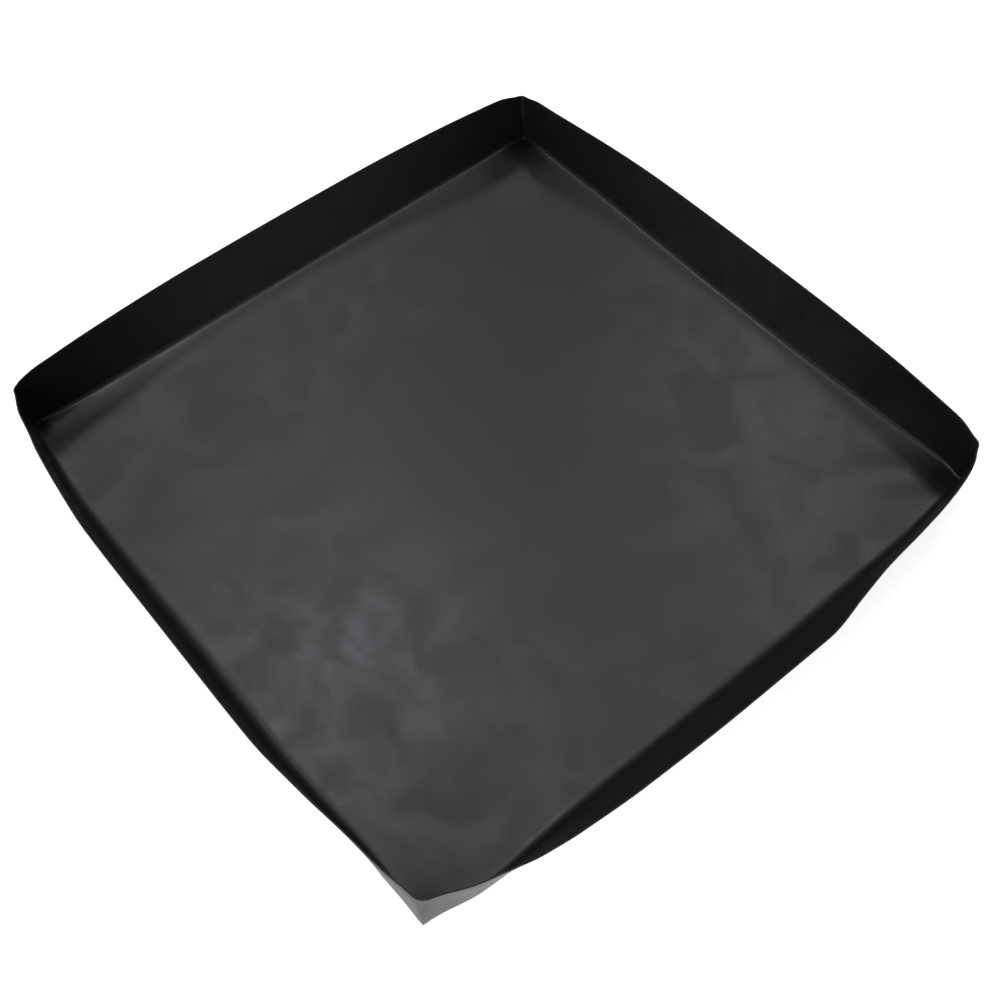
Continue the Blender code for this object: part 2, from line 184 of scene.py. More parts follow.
def smooth(x):
    x = min(max(x, 0), 1)
    return x * x * (3 - 2 * x)


def mesh_object(name, points, faces, surface, body="root"):
    mesh = bpy.data.meshes.new(name)
    mesh.from_pydata([tuple(p) for p in points], [], faces)
    mesh.validate()
    obj = bpy.data.objects.new(name, mesh)
    bpy.context.scene.collection.objects.link(obj)
    mesh.shade_smooth()
    mesh.materials.append(surface)
    if body:
        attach(obj, body)
    return obj


def from_bmesh(name, bm, surface):
    bmesh.ops.recalc_face_normals(bm, faces=bm.faces)
    mesh = bpy.data.meshes.new(name)
    bm.to_mesh(mesh)
    bm.free()
    obj = bpy.data.objects.new(name, mesh)
    bpy.context.scene.collection.objects.link(obj)
    if surface is not None:
        mesh.materials.append(surface)
    mesh.shade_smooth()
    mesh.set_sharp_from_angle(angle=math.radians(35))
    return obj


def round_edges(obj, width, segments=3, angle=35):
    rounded = obj.modifiers.new("rounded edges", "BEVEL")
    rounded.width = width
    rounded.segments = segments
    rounded.limit_method = "ANGLE"
    rounded.angle_limit = math.radians(angle)
    rounded.harden_normals = True


def stands_for(obj, node):
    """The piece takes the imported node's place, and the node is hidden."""
    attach(obj, "root")
    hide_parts(node)


def boolean(obj, operation, others):
    """Applies the operation with each of the others to obj for good, and deletes them."""
    for other in others:
        modifier = obj.modifiers.new(operation, "BOOLEAN")
        modifier.operation = operation
        modifier.object = other
    bpy.context.view_layer.update()
    evaluated = obj.evaluated_get(bpy.context.evaluated_depsgraph_get())
    mesh = bpy.data.meshes.new_from_object(evaluated)
    obj.modifiers.clear()
    obj.data = mesh
    mesh.shade_smooth()
    mesh.set_sharp_from_angle(angle=math.radians(35))
    for other in others:
        bpy.data.objects.remove(other)


# ---- the folded sheet's shape ----


def along_curve(knots, share):
    """The smooth curve through the knots' (share, value), which never overshoots them."""
    places = [knot[0] for knot in knots]
    values = [knot[1] for knot in knots]
    slopes = [(values[i + 1] - values[i]) / (places[i + 1] - places[i]) for i in range(len(knots) - 1)]
    tangents = [slopes[0]]
    for before, after in zip(slopes, slopes[1:]):
        tangents.append(0 if before * after <= 0 else 2 * before * after / (before + after))
    tangents.append(slopes[-1])
    i = min(max(sum(1 for place in places if place <= share) - 1, 0), len(slopes) - 1)
    width = places[i + 1] - places[i]
    u = (share - places[i]) / width
    start, end = values[i], values[i + 1]
    rise = (3 - 2 * u) * u * u
    turn = (1 - u) * tangents[i] - u * tangents[i + 1]
    return start + (end - start) * rise + width * u * (1 - u) * turn


def profile(wall, share):
    """A wall's inner cross-section at share 0 to 1 along it, as (out, up) from its fold line.

    It has the flange's rows, then the fold's arc, then the flat."""
    lean = math.radians(along_curve(wall["lean"], share))
    foot = along_curve(wall["foot"], share) * MM
    middle_share = max(math.sin(math.pi * share), 0) ** FOLD_SPREAD
    radius = CORNER_FOLD_RADIUS + (wall["fold"] - CORNER_FOLD_RADIUS) * middle_share
    turn = math.pi / 2 - lean
    arc_start = foot - radius * math.tan(turn / 2)
    points = []
    for row in range(FLANGE_ROWS):
        points.append((-FOLD_FLANGE + (arc_start + FOLD_FLANGE) * row / FLANGE_ROWS, 0.0))
    for row in range(FOLD_ROWS + 1):
        angle = turn * row / FOLD_ROWS
        points.append((arc_start + radius * math.sin(angle), radius * (1 - math.cos(angle))))
    out, up = points[-1]
    rim_out, rim_up = foot + WALL_HEIGHT * math.sin(lean), WALL_HEIGHT * math.cos(lean)
    for row in range(1, FLAT_ROWS + 1):
        along = row / FLAT_ROWS
        points.append((out + (rim_out - out) * along, up + (rim_up - up) * along))
    return points


def column_places():
    """Where the columns stand along a side of the floor panel, crowded towards the corners."""
    even = np.linspace(-1, 1, COLUMNS)
    return PANEL_HALF * (COLUMN_CROWDING * even + (1 - COLUMN_CROWDING) * np.sin(even * math.pi / 2))


def corner_reach(wall, next_wall):
    """How far out each row stands where wall ends: (along its outward axis, along the next's, up)."""
    return [(a[0], b[0], (a[1] + b[1]) / 2) for a, b in zip(profile(wall, 1), profile(next_wall, 0))]


def rounded(gap, radius):
    """A point gap away from the other wall's face, moved onto a corner of radius: (inwards, new gap)."""
    if gap >= radius:
        return 0, gap
    angle = math.pi / 4 * (1 - gap / radius)
    return radius * (1 - math.cos(angle)), radius * (1 - math.sin(angle))


def wall_grid(name):
    """The wall's inner surface as points[column][row], from its start corner to its end corner."""
    names = list(WALLS)
    place = names.index(name)
    wall, before, after = WALLS[name], WALLS[names[place - 1]], WALLS[names[(place + 1) % 4]]
    outward = math.radians(wall["outward"])
    out_axis = Vector((math.cos(outward), math.sin(outward), 0))
    along_axis = Vector((-out_axis.y, out_axis.x, 0))
    start_corner = [(own, other, up) for other, own, up in corner_reach(before, wall)]
    end_corner = corner_reach(wall, after)
    grid = []
    for along in column_places():
        if along < 0:
            corner, rim_radius = start_corner, before["corner"]
        else:
            corner, rim_radius = end_corner, wall["corner"]
        into_end = max((abs(along) - (PANEL_HALF - END_ZONE)) / END_ZONE, 0)
        blend = into_end**3
        column = []
        at_fold = math.copysign(abs(along) + FOLD_FLANGE * into_end, along)
        for row, (out, up) in enumerate(profile(wall, at_fold / (2 * FOLD_HALF) + 0.5)):
            own, other, corner_up = corner[row]
            reach = abs(along) + (FOLD_FLANGE + other) * into_end
            height_share = max(row - FOLD_TOP, 0) / FLAT_ROWS
            radius = rim_radius * smooth(height_share)
            inwards, gap = rounded(max(FOLD_HALF + other - reach, 0), radius)
            distance = FOLD_HALF + out * (1 - blend) + own * blend - inwards
            height = FLOOR_TOP + up * (1 - blend) + corner_up * blend
            place_along = math.copysign(FOLD_HALF + other - gap, along)
            column.append(along_axis * place_along + out_axis * distance + Vector((0, 0, height)))
        grid.append(column)
    return grid


def wear_of(row):
    """How worn a row of a wall is: the rim most, the fold a little."""
    if row == ROWS - 1:
        return 1
    on_fold = 1 - abs(row - FLANGE_ROWS - FOLD_ROWS / 2) / (FOLD_ROWS / 2)
    return FOLD_WEAR * max(on_fold, 0)


def skin_net():
    """(points, faces, wear, strips): the tray's inner surface.

    Each wall's points are strips[wall][column][row]."""
    places = column_places()
    points, faces, wear = [], [], []
    index = {}

    def place_point(key, point, worn):
        if key not in index:
            index[key] = len(points)
            points.append(Vector(point))
            wear.append(worn)
        return index[key]

    last = COLUMNS - 1
    for i, x in enumerate(places):
        for j, y in enumerate(places):
            place_point(("floor", i, j), (x, y, FLOOR_TOP), 0)
    for i in range(last):
        for j in range(last):
            square = ((i, j), (i + 1, j), (i + 1, j + 1), (i, j + 1))
            faces.append([index["floor", a, b] for a, b in square])

    floor_edge = {
        "front": lambda c: (c, 0),
        "right": lambda c: (last, c),
        "back": lambda c: (last - c, last),
        "left": lambda c: (0, last - c),
    }
    strips = {}
    for place, name in enumerate(WALLS):
        strip = []
        for c, column in enumerate(wall_grid(name)):
            line = [index[("floor", *floor_edge[name](c))]]
            for row in range(1, ROWS):
                if c == 0:
                    key = ("corner", place, row)
                elif c == last:
                    key = ("corner", (place + 1) % 4, row)
                else:
                    key = (name, c, row)
                line.append(place_point(key, column[row], wear_of(row)))
            strip.append(line)
        for c in range(last):
            for row in range(ROWS - 1):
                start, end = strip[c], strip[c + 1]
                faces.append([start[row], start[row + 1], end[row + 1], end[row]])
        strips[name] = strip
    return points, faces, wear, strips


def wave(x, y, kind):
    per_metre, where, height = kind
    return noise.noise(Vector((x * per_metre, y * per_metre, where))) * height


def sheet_lift(x, y):
    """How far the thin sheet stands above its flat or folded shape at a place in plan."""
    rise = 0
    rise_end = QUICK_RISE_END if x < 0 and y < 0 else RISE_END
    for wall in WALLS.values():
        outward = math.radians(wall["outward"])
        out = x * math.cos(outward) + y * math.sin(outward)
        along = y * math.cos(outward) - x * math.sin(outward)
        inside = max(FOLD_HALF - out, 0)
        to_end = max(FOLD_HALF - abs(along), 0)
        for width, slope in wall["rises"]:
            rise += slope * max(width - inside, 0) ** 2 / (2 * width) * smooth(to_end / rise_end)
    inside = max(FOLD_HALF - max(abs(x), abs(y)), 0)
    to_corner = math.hypot(max(FOLD_HALF - abs(x), 0), max(FOLD_HALF - abs(y), 0))
    settled = smooth((inside - PACKED_FLANGE) / SETTLE_WIDTH)
    waves = wave(x, y, SLOW_WAVE) + wave(x, y, QUICK_WAVE)
    swell = smooth((to_corner - SWELL_START) / (SWELL_TOP - SWELL_START))
    swell *= 1 - smooth((to_corner - SWELL_TOP) / (SWELL_END - SWELL_TOP))
    swell *= math.exp(-(((abs(x) - abs(y)) / SWELL_WIDTH) ** 2))
    height = SWELL_HEIGHTS[math.copysign(1, x), math.copysign(1, y)]
    return rise + waves * settled + height * swell


def tray_sheet(surface):
    points, faces, wear, strips = skin_net()
    for point in points:
        point.z += sheet_lift(point.x, point.y)
    obj = mesh_object("tray_sheet", points, faces, surface)
    attribute = obj.data.attributes.new("wear", "FLOAT", "POINT")
    attribute.data.foreach_set("value", wear)
    normals = [vertex.normal.copy() for vertex in obj.data.vertices]
    thick = obj.modifiers.new("thickness", "SOLIDIFY")
    thick.thickness = SHEET_THICK
    thick.offset = -1
    round_edges(obj, 0.35 * MM, segments=2, angle=60)
    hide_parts("floor_sheet", "front_wall", "right_wall", "back_wall", "left_wall")
    return points, normals, strips


def corner_lap(name, points, normals, columns, surface):
    """A strip welded to a wall's outer face beside a corner, pressed thin round its own edge."""
    rows = range(FOLD_TOP + 1, ROWS - LAP_RIM_ROWS)
    inner = SHEET_THICK + LAP_GAP
    bm = bmesh.new()
    grids = []
    for thick in (0, LAP_THICK):
        grid = []
        for column in columns:
            line = []
            for r in rows:
                on_edge = r in (rows[0], rows[-1]) or column in (columns[0], columns[-1])
                offset = inner + (min(thick, LAP_EDGE) if on_edge else thick)
                line.append(bm.verts.new(points[column[r]] - normals[column[r]] * offset))
            grid.append(line)
        grids.append(grid)
    for grid in grids:
        for first, second in zip(grid, grid[1:]):
            for r in range(len(rows) - 1):
                bm.faces.new((first[r], second[r], second[r + 1], first[r + 1]))
    near, far = grids
    for r in (0, -1):
        for c in range(len(columns) - 1):
            bm.faces.new((near[c][r], near[c + 1][r], far[c + 1][r], far[c][r]))
    for c in (0, -1):
        for r in range(len(rows) - 1):
            bm.faces.new((near[c][r], near[c][r + 1], far[c][r + 1], far[c][r]))
    lap = from_bmesh(name.replace("lap", "welded_lap"), bm, surface)
    round_edges(lap, 0.04 * MM, segments=2, angle=50)
    stands_for(lap, name)


def corner_laps(points, normals, strips, surface):
    places = column_places()
    count = sum(1 for place in places if place > PANEL_HALF - LAP_WIDTH)
    for side in ("front", "back"):
        first, last = ("left", "right") if side == "front" else ("right", "left")
        corner_lap(f"{side}_{first}_lap", points, normals, strips[side][1:count], surface)
        corner_lap(f"{side}_{last}_lap", points, normals, strips[side][-count:-1], surface)


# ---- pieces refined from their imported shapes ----


def packed_copy(name, node, surface):
    """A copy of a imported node's mesh, with its flat faces whole again."""
    bm = bmesh.new()
    bm.from_mesh(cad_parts[node].data)
    bmesh.ops.remove_doubles(bm, verts=bm.verts, dist=0.001 * MM)
    bmesh.ops.dissolve_limit(bm, angle_limit=math.radians(1), verts=bm.verts, edges=bm.edges)
    return from_bmesh(name, bm, surface)


def lathe(name, outline, centre, along, surface, segments=64):
    """A solid turned from (radius, distance) points that close on the axis or on themselves."""
    along = Vector(along).normalized()
    turn = Vector((0, 0, 1)).rotation_difference(along).to_matrix()
    bm = bmesh.new()
    rings = []
    for radius, distance in outline:
        if radius == 0:
            rings.append([bm.verts.new(Vector(centre) + along * distance)] * segments)
            continue
        ring = []
        for step in range(segments):
            angle = 2 * math.pi * step / segments
            spoke = turn @ Vector((radius * math.cos(angle), radius * math.sin(angle), 0))
            ring.append(bm.verts.new(Vector(centre) + spoke + along * distance))
        rings.append(ring)
    closed = outline[0][0] > 0
    pairs = list(zip(rings, rings[1:] + rings[:1])) if closed else list(zip(rings, rings[1:]))
    for first, second in pairs:
        for step in range(segments):
            after = (step + 1) % segments
            corners = [first[step], first[after], second[after], second[step]]
            bm.faces.new(list(dict.fromkeys(corners)))
    return from_bmesh(name, bm, surface)


def rounded_corners(obj, half, radius):
    """Rounds in plan the four corners of a sheet that stand at half from its middle."""
    bm = bmesh.new()
    bm.from_mesh(obj.data)
    upright = []
    for edge in bm.edges:
        start, end = (vertex.co for vertex in edge.verts)
        at_corner = all(abs(abs(value) - half) < GAP for value in start.xy)
        if at_corner and abs(start.x - end.x) + abs(start.y - end.y) < GAP:
            upright.append(edge)
    bmesh.ops.bevel(bm, geom=upright, offset=radius, segments=8, profile=0.5, affect="EDGES")
    bm.to_mesh(obj.data)
    bm.free()


def underside(base_surface, seal_surface):
    base = packed_copy("base_cover", "base_sheet", base_surface)
    rounded_corners(base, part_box("base_sheet")[1].x, 8 * MM)
    round_edges(base, 0.25 * MM, angle=60)
    stands_for(base, "base_sheet")
    seal = packed_copy("welded_seal", "edge_seal", seal_surface)
    rounded_corners(seal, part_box("edge_seal")[1].x, 7.5 * MM)
    round_edges(seal, 0.4 * MM, angle=60)
    stands_for(seal, "edge_seal")


def lead_block(surface, edge_surface):
    for name, node, edge in (
        ("block_housing", "lead_block_base", 0.4 * MM),
        ("block_cover", "lead_block_lid", 0.35 * MM),
    ):
        piece = packed_copy(name, node, surface)
        piece.data.materials.append(edge_surface)
        round_edges(piece, edge)
        piece.modifiers["rounded edges"].material = 1
        stands_for(piece, node)


SCREW_SHANK = 1.2 * MM  # its radius over the thread
SCREW_HEAD_HEIGHT = 1.4 * MM
SCREW_HEAD_RIM = 0.2 * MM
DOME_STEPS = 8
SCREW_THREAD_PITCH = 0.6 * MM
SCREW_THREAD_START = 0.5 * MM  # up from the tip
SCREW_SLOT = 0.6 * MM


def cover_screw(number, surface):
    """A slotted pan-head screw with a domed head and a threaded shank."""
    low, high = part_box(f"lid_screw_{number}")
    middle = (low + high) / 2
    centre = Vector((middle.x, middle.y, low.z))
    length = high.z - low.z
    head_radius = (high.x - low.x) / 2
    under_head = length - SCREW_HEAD_HEIGHT
    outline = [(0, 0), (0.5 * SCREW_SHANK, 0)]
    turns = int((under_head - 2 * SCREW_THREAD_START) / SCREW_THREAD_PITCH)
    for turn in range(turns):
        height = SCREW_THREAD_START + turn * SCREW_THREAD_PITCH
        outline.append((0.82 * SCREW_SHANK, height))
        outline.append((SCREW_SHANK, height + SCREW_THREAD_PITCH / 2))
    outline.append((0.9 * SCREW_SHANK, under_head))
    outline.append((head_radius - SCREW_HEAD_RIM, under_head))
    dome_start = under_head + SCREW_HEAD_RIM
    for step in range(DOME_STEPS + 1):
        angle = math.pi / 2 * step / DOME_STEPS
        bulge = math.cos(angle) ** 0.5 * head_radius if step < DOME_STEPS else 0
        outline.append((bulge, dome_start + (SCREW_HEAD_HEIGHT - SCREW_HEAD_RIM) * math.sin(angle)))
    screw = lathe(f"cover_screw_{number}", outline, centre, (0, 0, 1), surface, segments=48)
    bm = bmesh.new()
    size = (3 * head_radius, SCREW_SLOT, SCREW_HEAD_HEIGHT)
    bmesh.ops.create_cube(bm, size=1, matrix=Matrix.Diagonal((*size, 1)))
    bmesh.ops.rotate(bm, verts=bm.verts, cent=(0, 0, 0), matrix=Matrix.Rotation(0.5 + number, 3, "Z"))
    bmesh.ops.translate(bm, verts=bm.verts, vec=(middle.x, middle.y, high.z))
    boolean(screw, "DIFFERENCE", [from_bmesh("slot_cutter", bm, None)])
    round_edges(screw, 0.06 * MM, segments=2, angle=50)
    stands_for(screw, f"lid_screw_{number}")


def trimmed(name, node, outline, surface, edge_surface):
    """A gland piece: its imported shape, trimmed to a turned outline, with its edges rounded."""
    low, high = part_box(node)
    middle = (low + high) / 2
    piece = packed_copy(name, node, surface)
    piece.data.materials.append(edge_surface)
    trim = lathe(f"{name}_trim", outline, (middle.x, low.y, middle.z), (0, 1, 0), None)
    boolean(piece, "INTERSECT", [trim])
    round_edges(piece, 0.2 * MM)
    piece.modifiers["rounded edges"].material = 1
    stands_for(piece, node)


CHAMFER = 0.9 * MM
NUT_DOME = 3.2 * MM
GROMMET_BORE = 2.2 * MM
GROMMET_EDGE = 0.35 * MM


def gland(surface, edge_surface, rubber_surface):
    low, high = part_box("gland_nut")
    length, radius = high.y - low.y, (high.x - low.x) / 2
    outline = [(0, -MM), (0.9 * radius, -MM), (0.9 * radius, 0), (1.02 * radius, CHAMFER)]
    for step in range(7):
        angle = math.pi / 2 * step / 6
        dome_radius = radius * (0.62 + 0.4 * math.cos(angle))
        outline.append((dome_radius, length - NUT_DOME + NUT_DOME * math.sin(angle)))
    outline.append((0, length))
    trimmed("gland_clamp_nut", "gland_nut", outline, surface, edge_surface)

    low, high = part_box("gland_body")
    collar_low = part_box("lead_block_base")[1].y + GAP - low.y
    collar_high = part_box("gland_nut")[0].y - GAP - low.y
    narrow, wide = 0.88 * radius, 1.02 * radius
    outline = [
        (0, -MM),
        (narrow, -MM),
        (narrow, collar_low),
        (wide, collar_low + CHAMFER),
        (wide, collar_high - CHAMFER),
        (narrow, collar_high),
        (narrow, high.y - low.y + MM),
        (0, high.y - low.y + MM),
    ]
    trimmed("gland_threaded_body", "gland_body", outline, surface, edge_surface)

    low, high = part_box("gland_grommet")
    middle = (low + high) / 2
    length, radius = high.y - low.y, (high.x - low.x) / 2
    edge = GROMMET_EDGE
    outline = []
    for centre_radius, centre_y, start in (
        (radius - edge, length - edge, 0),
        (GROMMET_BORE + edge, length - edge, 90),
        (GROMMET_BORE + edge, edge, 180),
        (radius - edge, edge, 270),
    ):
        for step in range(5):
            angle = math.radians(start + 90 * step / 4)
            outline.append((centre_radius + edge * math.cos(angle), centre_y + edge * math.sin(angle)))
    ring = lathe("gland_seal_ring", outline, (middle.x, low.y, middle.z), (0, 1, 0), rubber_surface)
    stands_for(ring, "gland_grommet")


def finish_packed(surfaces):
    """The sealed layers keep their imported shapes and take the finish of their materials."""
    for slot, nodes in surfaces.items():
        for node in nodes:
            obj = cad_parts[node]
            obj.data.materials.clear()
            obj.data.materials.append(slot)


# ---- materials ----


def principled(name, colour, roughness, metallic=0.0, ior=1.5):
    made = bpy.data.materials.new(name)
    made.use_nodes = True
    shader = made.node_tree.nodes["Principled BSDF"]
    shader.inputs["Base Color"].default_value = (*colour, 1)
    shader.inputs["Roughness"].default_value = roughness
    shader.inputs["Metallic"].default_value = metallic
    shader.inputs["IOR"].default_value = ior
    return made, made.node_tree, shader


def add(tree, kind, inputs, **settings):
    """A shader node with its settings, and its inputs given as values or as other nodes' outputs."""
    made = tree.nodes.new(f"ShaderNode{kind}")
    for key, value in settings.items():
        setattr(made, key, value)
    for key, value in inputs.items():
        if isinstance(value, bpy.types.NodeSocket):
            tree.links.new(value, made.inputs[key])
        else:
            made.inputs[key].default_value = value
    return made


def position(tree, scale=(1, 1, 1), rotation=(0, 0, 0)):
    """Places on the object in metres, stretched and turned."""
    here = add(tree, "TexCoord", {}).outputs["Object"]
    return add(tree, "Mapping", {"Vector": here, "Scale": scale, "Rotation": rotation}).outputs[0]


def cloud(tree, scale, detail=3.0, distortion=0.0, where=None):
    where = where or position(tree)
    inputs = {"Vector": where, "Scale": scale, "Detail": detail, "Distortion": distortion}
    return add(tree, "TexNoise", inputs).outputs["Fac"]


def cells(tree, scale, feature="F1", where=None):
    return add(tree, "TexVoronoi", {"Vector": where or position(tree), "Scale": scale}, feature=feature)


def remap(tree, value, low, high, to_low, to_high):
    inputs = {"Value": value, "From Min": low, "From Max": high, "To Min": to_low, "To Max": to_high}
    return add(tree, "MapRange", inputs, interpolation_type="SMOOTHSTEP").outputs[0]


def math_of(tree, operation, first, second):
    return add(tree, "Math", {0: first, 1: second}, operation=operation).outputs[0]


def mixed(tree, factor, first, second):
    """A colour between first and second."""
    inputs = {0: factor, 6: first, 7: second}
    return add(tree, "Mix", inputs, data_type="RGBA").outputs[2]


def bumped(tree, height, distance, strength=1.0, before=None):
    inputs = {"Height": height, "Distance": distance, "Strength": strength}
    if before is not None:
        inputs["Normal"] = before
    return add(tree, "Bump", inputs).outputs[0]


def grey(value, warmth=0.0):
    return (value * (1 + warmth), value, value * (1 - warmth), 1)


def link(tree, shader, **outputs):
    for name, output in outputs.items():
        tree.links.new(output, shader.inputs[name.replace("_", " ")])


def black_sheet_material():
    """Satin black flexible sheet: fine grain, soft unevenness, smears, dust and a worn rim."""
    made, tree, shader = principled("black_sheet", (0.005, 0.005, 0.005), 0.4)
    broad = cloud(tree, 5, detail=2, distortion=0.6)
    patches = cloud(tree, 19, detail=4, distortion=0.8)
    streaks = cloud(tree, 1, detail=3, where=position(tree, (14, 75, 14), (0, 0, math.radians(-38))))
    worn = add(tree, "Attribute", {}, attribute_name="wear").outputs["Fac"]
    wear = math_of(tree, "MULTIPLY", worn, remap(tree, cloud(tree, 120, detail=5), 0.35, 0.75, 0.15, 1))
    speck = cells(tree, 50)
    near = remap(tree, speck.outputs["Distance"], 0.012, 0.03, 1, 0)
    chosen = math_of(tree, "GREATER_THAN", speck.outputs["Position"], 0.35)
    specks = math_of(tree, "MULTIPLY", near, chosen)
    tone = mixed(tree, broad, grey(0.0042, 0.04), grey(0.0062, -0.04))
    tone = mixed(tree, remap(tree, streaks, 0.56, 0.78, 0, 0.35), tone, grey(0.011))
    tone = mixed(tree, math_of(tree, "MULTIPLY", wear, 0.35), tone, grey(0.03))
    tone = mixed(tree, specks, tone, grey(0.09))
    rough = remap(tree, patches, 0.3, 0.7, 0.34, 0.44)
    rough = math_of(tree, "ADD", rough, remap(tree, streaks, 0.5, 0.8, 0, 0.03))
    rough = math_of(tree, "ADD", rough, math_of(tree, "MULTIPLY", wear, 0.08))
    grain = bumped(tree, cells(tree, 1500, "SMOOTH_F1").outputs["Distance"], 0.02 * MM, 0.35)
    peel = bumped(tree, cloud(tree, 95, detail=3), 0.03 * MM, 0.5, grain)
    dents = bumped(tree, cloud(tree, 14, detail=1, distortion=0.4), 0.25 * MM, 0.3, peel)
    link(tree, shader, Base_Color=tone, Roughness=rough, Normal=dents)
    return made


def base_sheet_material():
    """Matte black sheet embossed with a pebble grain."""
    made, tree, shader = principled("base_sheet", (0.02, 0.02, 0.02), 0.6)
    pebbles = cells(tree, 420, "SMOOTH_F1").outputs["Distance"]
    tone = mixed(tree, cloud(tree, 12, detail=4), grey(0.014), grey(0.026))
    rough = remap(tree, pebbles, 0.1, 0.8, 0.5, 0.72)
    grain = bumped(tree, cloud(tree, 2600, detail=2), 0.02 * MM, 0.5)
    relief = bumped(tree, pebbles, 0.25 * MM, 0.8, grain)
    link(tree, shader, Base_Color=tone, Roughness=rough, Normal=relief)
    return made


def edge_seal_material():
    """Welded margin, ribbed by the sealing bar, with painted shade in the grooves between the ribs."""
    made, tree, shader = principled("edge_seal", (0.016, 0.016, 0.017), 0.45)
    across = position(tree, rotation=(0, 0, math.radians(45)))
    bands = {"Vector": across, "Scale": 220, "Distortion": 0.3, "Detail": 1}
    ribs = add(tree, "TexWave", bands).outputs["Fac"]
    # painted shade: the tone is darker in the grooves and lighter on the rib tops, following the bump
    tone = mixed(tree, ribs, grey(0.012), grey(0.022))
    rough = remap(tree, cloud(tree, 60, detail=4), 0.3, 0.7, 0.36, 0.55)
    link(tree, shader, Base_Color=tone, Roughness=rough, Normal=bumped(tree, ribs, 0.15 * MM, 0.8))
    return made


def foam_material():
    """Closed-cell foam: pale, with fine open-cut cells, and painted shade darkening the pit of each
    cell.
    """
    made, tree, shader = principled("insulation_foam", (0.55, 0.55, 0.53), 0.9)
    pores = cells(tree, 1100).outputs["Distance"]
    # painted shade: the tone darkens towards each cell's middle, where the bump sinks into its pit
    tone = mixed(tree, remap(tree, pores, 0.1, 0.6, 0, 1), grey(0.38, 0.02), grey(0.6, 0.02))
    tone = mixed(tree, remap(tree, cloud(tree, 15, detail=3), 0.4, 0.7, 0, 0.4), tone, grey(0.5, 0.06))
    rough = remap(tree, pores, 0, 0.7, 0.98, 0.8)
    link(tree, shader, Base_Color=tone, Roughness=rough, Normal=bumped(tree, pores, 0.3 * MM, 0.7))
    return made


def carrier_film_material():
    """Milky polyester film: glossy, faintly rippled and finely scratched."""
    made, tree, shader = principled("carrier_film", (0.5, 0.5, 0.47), 0.16, ior=1.57)
    scratches = cloud(tree, 1, detail=2, where=position(tree, (40, 1800, 40), (0, 0, 0.3)))
    tone = mixed(tree, cloud(tree, 9, detail=3), grey(0.44, 0.03), grey(0.54, 0.05))
    rough = remap(tree, scratches, 0.5, 0.75, 0.1, 0.32)
    ripple = bumped(tree, cloud(tree, 35, detail=2), 0.15 * MM, 0.5)
    link(tree, shader, Base_Color=tone, Roughness=rough, Normal=ripple)
    return made


def carbon_print_material():
    """Carbon ink: dull black, mottled, with the mesh of the printing screen."""
    made, tree, shader = principled("carbon_print", (0.02, 0.02, 0.02), 0.7)
    weave = cells(tree, 2800, "F1").outputs["Distance"]
    tone = mixed(tree, cloud(tree, 180, detail=5), grey(0.012), grey(0.034, 0.03))
    rough = remap(tree, cloud(tree, 60, detail=3), 0.3, 0.7, 0.6, 0.82)
    link(tree, shader, Base_Color=tone, Roughness=rough, Normal=bumped(tree, weave, 0.02 * MM, 0.6))
    return made


def copper_material():
    """Rolled copper foil with light tarnish."""
    made, tree, shader = principled("copper", (0.72, 0.36, 0.2), 0.32, metallic=1)
    rolled = cloud(tree, 1, detail=3, where=position(tree, (30, 1600, 30)))
    tarnish = remap(tree, cloud(tree, 70, detail=5, distortion=0.5), 0.45, 0.75, 0, 0.7)
    tone = mixed(tree, tarnish, (0.78, 0.41, 0.24, 1), (0.34, 0.16, 0.09, 1))
    rough = remap(tree, rolled, 0.3, 0.7, 0.24, 0.36)
    rough = math_of(tree, "ADD", rough, math_of(tree, "MULTIPLY", tarnish, 0.2))
    link(tree, shader, Base_Color=tone, Roughness=rough, Normal=bumped(tree, rolled, 0.01 * MM, 0.5))
    return made


def moulded_material(name, worn):
    """Moulded black plastic with a spark-eroded grain; its worn twin goes on rounded edges."""
    made, tree, shader = principled(name, (0.018, 0.018, 0.019), 0.5)
    grain = cloud(tree, 2600, detail=2)
    rubbed = remap(tree, cloud(tree, 420, detail=4), 0.35, 0.7, 0, 0.8 if worn else 0.1)
    tone = mixed(tree, cloud(tree, 45, detail=3), grey(0.014), grey(0.021))
    tone = mixed(tree, rubbed, tone, grey(0.05))
    rough = remap(tree, grain, 0.3, 0.7, 0.44, 0.6)
    rough = math_of(tree, "SUBTRACT", rough, math_of(tree, "MULTIPLY", rubbed, 0.18))
    relief = bumped(tree, grain, (0.01 if worn else 0.04) * MM, 0.7)
    link(tree, shader, Base_Color=tone, Roughness=rough, Normal=relief)
    return made


def steel_material():
    """Zinc-plated steel: faintly mottled, with its roughness varying finely."""
    made, tree, shader = principled("steel", (0.55, 0.55, 0.56), 0.3, metallic=1)
    mottle = cloud(tree, 900, detail=4)
    tone = mixed(tree, mottle, (0.42, 0.42, 0.43, 1), (0.68, 0.68, 0.66, 1))
    rough = remap(tree, cloud(tree, 2500, detail=3), 0.3, 0.7, 0.22, 0.45)
    link(tree, shader, Base_Color=tone, Roughness=rough, Normal=bumped(tree, mottle, 0.02 * MM, 0.5))
    return made


def rubber_material():
    """Black rubber with a dusty bloom."""
    made, tree, shader = principled("rubber", (0.03, 0.03, 0.03), 0.82, ior=1.45)
    bloom = cloud(tree, 500, detail=4)
    tone = mixed(tree, remap(tree, bloom, 0.4, 0.8, 0, 1), grey(0.018), grey(0.06))
    rough = remap(tree, bloom, 0.3, 0.7, 0.72, 0.92)
    relief = bumped(tree, cloud(tree, 3000), 0.02 * MM, 0.6)
    link(tree, shader, Base_Color=tone, Roughness=rough, Normal=relief)
    return made


# ---- stage, lights and camera ----

